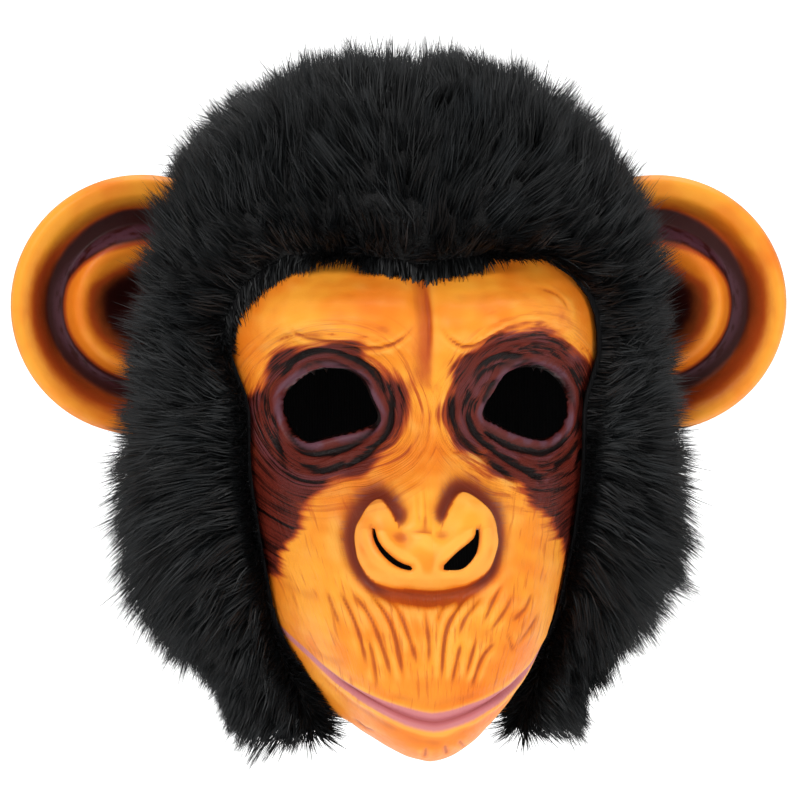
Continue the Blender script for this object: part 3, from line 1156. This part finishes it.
def build_plush():
    draw = np.random.default_rng(5)
    parts = (comb_plush(draw), comb_fringe(draw))
    lines, tone = (np.concatenate(columns) for columns in zip(*parts))
    roots = lines[:, 0]
    paint = plush_paint("black_plush")
    crown = roots[:, 2] > -0.045
    back = ~crown & (roots[:, 1] > 0.035)
    rest = ~crown & ~back
    groups = (
        ("plush_crown", crown),
        ("plush_back_left", back & (roots[:, 0] > 0)),
        ("plush_back_right", back & (roots[:, 0] <= 0)),
        ("plush_left", rest & (roots[:, 0] > 0)),
        ("plush_right", rest & (roots[:, 0] <= 0)),
    )
    for name, chosen in groups:
        piece = strand_mesh(name, lines[chosen], tone[chosen], draw)
        print(name, int(chosen.sum()) * 3, "triangles")
        piece.data.materials.append(paint)
        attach(piece, "root")
        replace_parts(piece, "fur_pile")


def undercoat_paint():
    paint = Paint("plush_undercoat", 0.85)
    tufts = paint.noise(700.0, 5.0)
    colour = paint.blend(paint.ramp(tufts, 0.35, 0.7), tint(2, 2, 3), tint(9, 10, 11))
    return paint.finish(colour, paint.bump(tufts, 0.002, 1.0))


def build_undercoat():
    """A ball drawn onto the hood's wall, opened at the face and the neck, which thins out at its edges."""
    bpy.ops.object.select_all(action="DESELECT")
    bpy.ops.mesh.primitive_uv_sphere_add(segments=128, ring_count=88, radius=1.0)
    coat = bpy.context.object
    coat.name = "plush_undercoat"
    coat.data.name = "plush_undercoat"
    mesh = coat.data
    spots = np.zeros(len(mesh.vertices) * 3)
    mesh.vertices.foreach_get("co", spots)
    spots = spots.reshape(-1, 3)
    level = np.arccos(np.clip(spots[:, 2], -1, 1)) / math.pi * 2.12
    turn = np.arctan2(spots[:, 0], -spots[:, 1])
    gone = level > 2.0
    level = np.minimum(level, 2.0)
    wall = hood_point(level, turn)
    normals = hood_normal(level, turn)
    pole = level < 0.01
    normals[pole] = (0.0, 0.0, 1.0)
    outline = opening_outline(0.0008)
    front = wall[:, 1] < 0
    far, _, near_x, near_z = line_distance(wall[:, 0], wall[:, 2], outline)
    in_face = inside_outline(wall[:, 0], wall[:, 2], outline) & front
    drawn = front & (far < 0.0034)
    wall[drawn] = np.stack([near_x, egg_front(near_x, near_z), near_z], axis=-1)[drawn]
    in_face |= drawn
    edge = np.where(front, far, 1.0)
    edge[drawn] = 0.0
    hem = (2.0 - level) * (HOOD_HEIGHT - DOME_HEIGHT)
    ear = np.where(np.abs(wall[:, 2] + EAR_DROP) < EAR_RADIUS, np.abs(wall[:, 1]), 1.0)
    ear = np.where(np.abs(wall[:, 0]) > 0.04, ear, 1.0)
    room = ease(edge, 0.0, 0.014) * ease(hem, 0.0, 0.014) * ease(ear, 0.002, 0.014)
    rough = 1 + 0.22 * ripples(wall[:, 0] * 180, (wall[:, 2] + wall[:, 1]) * 180, 41)
    wall += normals * (FACET_EASE + CLOTH + 0.0003 + UNDERCOAT * room * rough)[:, None]
    mesh.vertices.foreach_set("co", wall.reshape(-1))
    mesh.update()
    choose_only(coat)
    flags = gone | in_face
    for domain in (mesh.vertices, mesh.edges, mesh.polygons):
        domain.foreach_set("select", np.zeros(len(domain), bool))
    picked = np.array([all(flags[v] for v in face.vertices) for face in mesh.polygons])
    mesh.polygons.foreach_set("select", picked)
    bpy.ops.object.mode_set(mode="EDIT")
    bpy.ops.mesh.select_mode(type="FACE")
    bpy.ops.mesh.delete(type="FACE")
    bpy.ops.object.mode_set(mode="OBJECT")
    bpy.ops.object.shade_smooth()
    coat.data.materials.append(undercoat_paint())
    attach(coat, "root")
    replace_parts(coat, "fur_pile")


def dress_backing():
    """Black knitted cloth for the hood's backing."""
    paint = Paint("knitted_backing", 0.9)
    knit = paint.nodes.new("ShaderNodeTexWave")
    knit.inputs["Scale"].default_value = 260.0
    knit.inputs["Distortion"].default_value = 1.5
    paint.links.new(paint.place, knit.inputs["Vector"])
    loops = knit.outputs["Fac"]
    colour = paint.blend(loops, tint(5, 5, 6), tint(15, 15, 17))
    cloth = paint.finish(colour, paint.bump(loops, 0.0003, 0.5))
    paint.shader.inputs["Specular IOR Level"].default_value = 0.15
    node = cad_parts["hood_backing"]
    for number in range(len(node.material_slots)):
        node.material_slots[number].material = cloth


def add_light(name, place, power, size, aim):
    lamp = bpy.data.lights.new(name, "AREA")
    lamp.energy = power
    lamp.size = size
    light = bpy.data.objects.new(name, lamp)
    light.location = place
    light.rotation_euler = (Vector(aim) - Vector(place)).to_track_quat("-Z", "Y").to_euler()
    bpy.context.scene.collection.objects.link(light)


def build_stage():
    aim = Vector((0.0, 0.0, -AIM_DROP))
    turn, rise = math.radians(CAMERA_TURN), math.radians(CAMERA_RISE)
    way = Vector((math.sin(turn) * math.cos(rise), -math.cos(turn) * math.cos(rise), math.sin(rise)))
    lens = bpy.data.cameras.new("camera")
    lens.lens = CAMERA_LENS
    lens.clip_start = 0.05
    camera = bpy.data.objects.new("camera", lens)
    camera.location = aim + way * CAMERA_DISTANCE
    camera.rotation_euler = (-way).to_track_quat("-Z", "Y").to_euler()
    bpy.context.scene.collection.objects.link(camera)
    bpy.context.scene.camera = camera

    pale = Paint("pale_studio", 0.9)
    pale.shader.inputs["Emission Color"].default_value = (1.0, 1.0, 1.0, 1.0)
    pale.shader.inputs["Emission Strength"].default_value = 0.35
    paper = pale.finish(tint(246, 246, 246))
    for name, place, tilt in (("floor", (0.0, 0.0, -FLOOR_DROP), 0.0), ("backdrop", (0.0, 2.4, 1.0), 90.0)):
        bpy.ops.object.select_all(action="DESELECT")
        bpy.ops.mesh.primitive_plane_add(size=12.0, location=place, rotation=(math.radians(tilt), 0.0, 0.0))
        sheet = bpy.context.object
        sheet.name = name
        sheet.data.materials.append(paper)

    world = bpy.data.worlds.new("studio")
    world.use_nodes = True
    world.node_tree.nodes["Background"].inputs["Color"].default_value = (1.0, 1.0, 1.0, 1.0)
    world.node_tree.nodes["Background"].inputs["Strength"].default_value = 0.55
    bpy.context.scene.world = world
    bpy.context.scene.view_settings.view_transform = "Standard"
    add_light("key_light", (-0.8, -1.4, 1.1), 20.0, 0.8, aim)
    add_light("fill_light", (1.3, -1.2, 0.1), 8.0, 1.2, aim)
    add_light("top_light", (0.2, 0.4, 1.4), 12.0, 1.0, aim)


build_stage()
build_face()
ears_paint = ear_paint()
ears_bare = bare_latex("ear_latex_back")
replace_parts(build_ear("ear_skin_left", 1.0, ears_paint, ears_bare), "ear_left")
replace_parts(build_ear("ear_skin_right", -1.0, ears_paint, ears_bare), "ear_right")
build_undercoat()
build_plush()
dress_backing()
